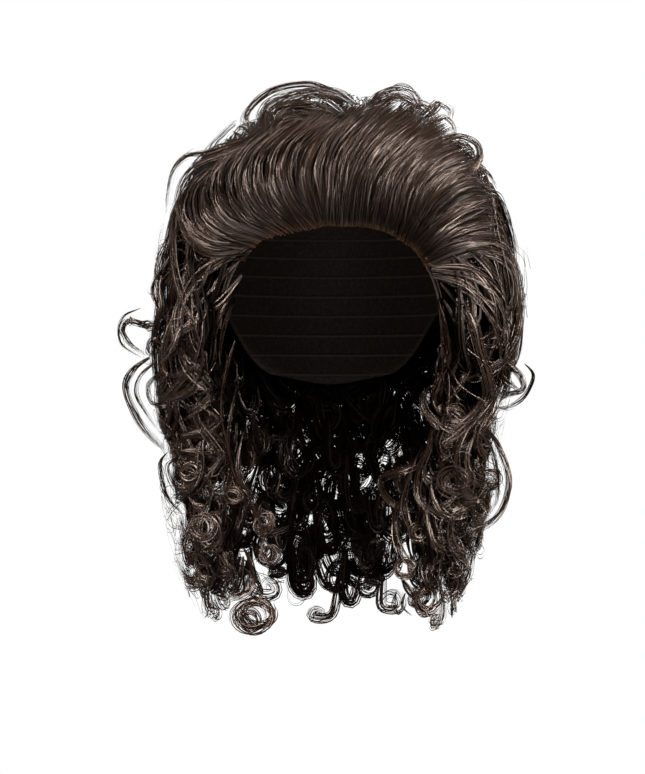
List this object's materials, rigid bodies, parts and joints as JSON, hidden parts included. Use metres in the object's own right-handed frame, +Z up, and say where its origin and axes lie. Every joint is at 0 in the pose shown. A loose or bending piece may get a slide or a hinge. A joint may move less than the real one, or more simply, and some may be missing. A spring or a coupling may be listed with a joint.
{
  "type": "curly shoulder-length wig",
  "caption": "Dark brown curly wig in its worn shape: hair swept back from a sewn hairline band over an open stretch cap, falling in shoulder-length curls.",
  "frame": {"origin": "where the crown of the wearer's head meets the inside of the cap", "axes": "+Z up out of the crown, -Y out of the face opening, +X to the viewer's right when facing the front"},
  "size_m": [0.2866, 0.2352, 0.3729],
  "materials": {
    "hair": "glossy dark brown synthetic fibre",
    "cap_net": "dark brown stretch net with sewn weft rows",
    "hairline": "brown knotted band along the hairline"
  },
  "bodies": {
    "root": {"cap": "cap_net", "hairline_band": "hairline", "front_sweep": "hair", "temple_locks_left": "hair", "temple_locks_right": "hair", "side_curls_left": "hair", "side_curls_right": "hair", "rear_curls_left": "hair", "rear_curls_right": "hair", "back_curls": "hair"}
  },
  "joints": []
}
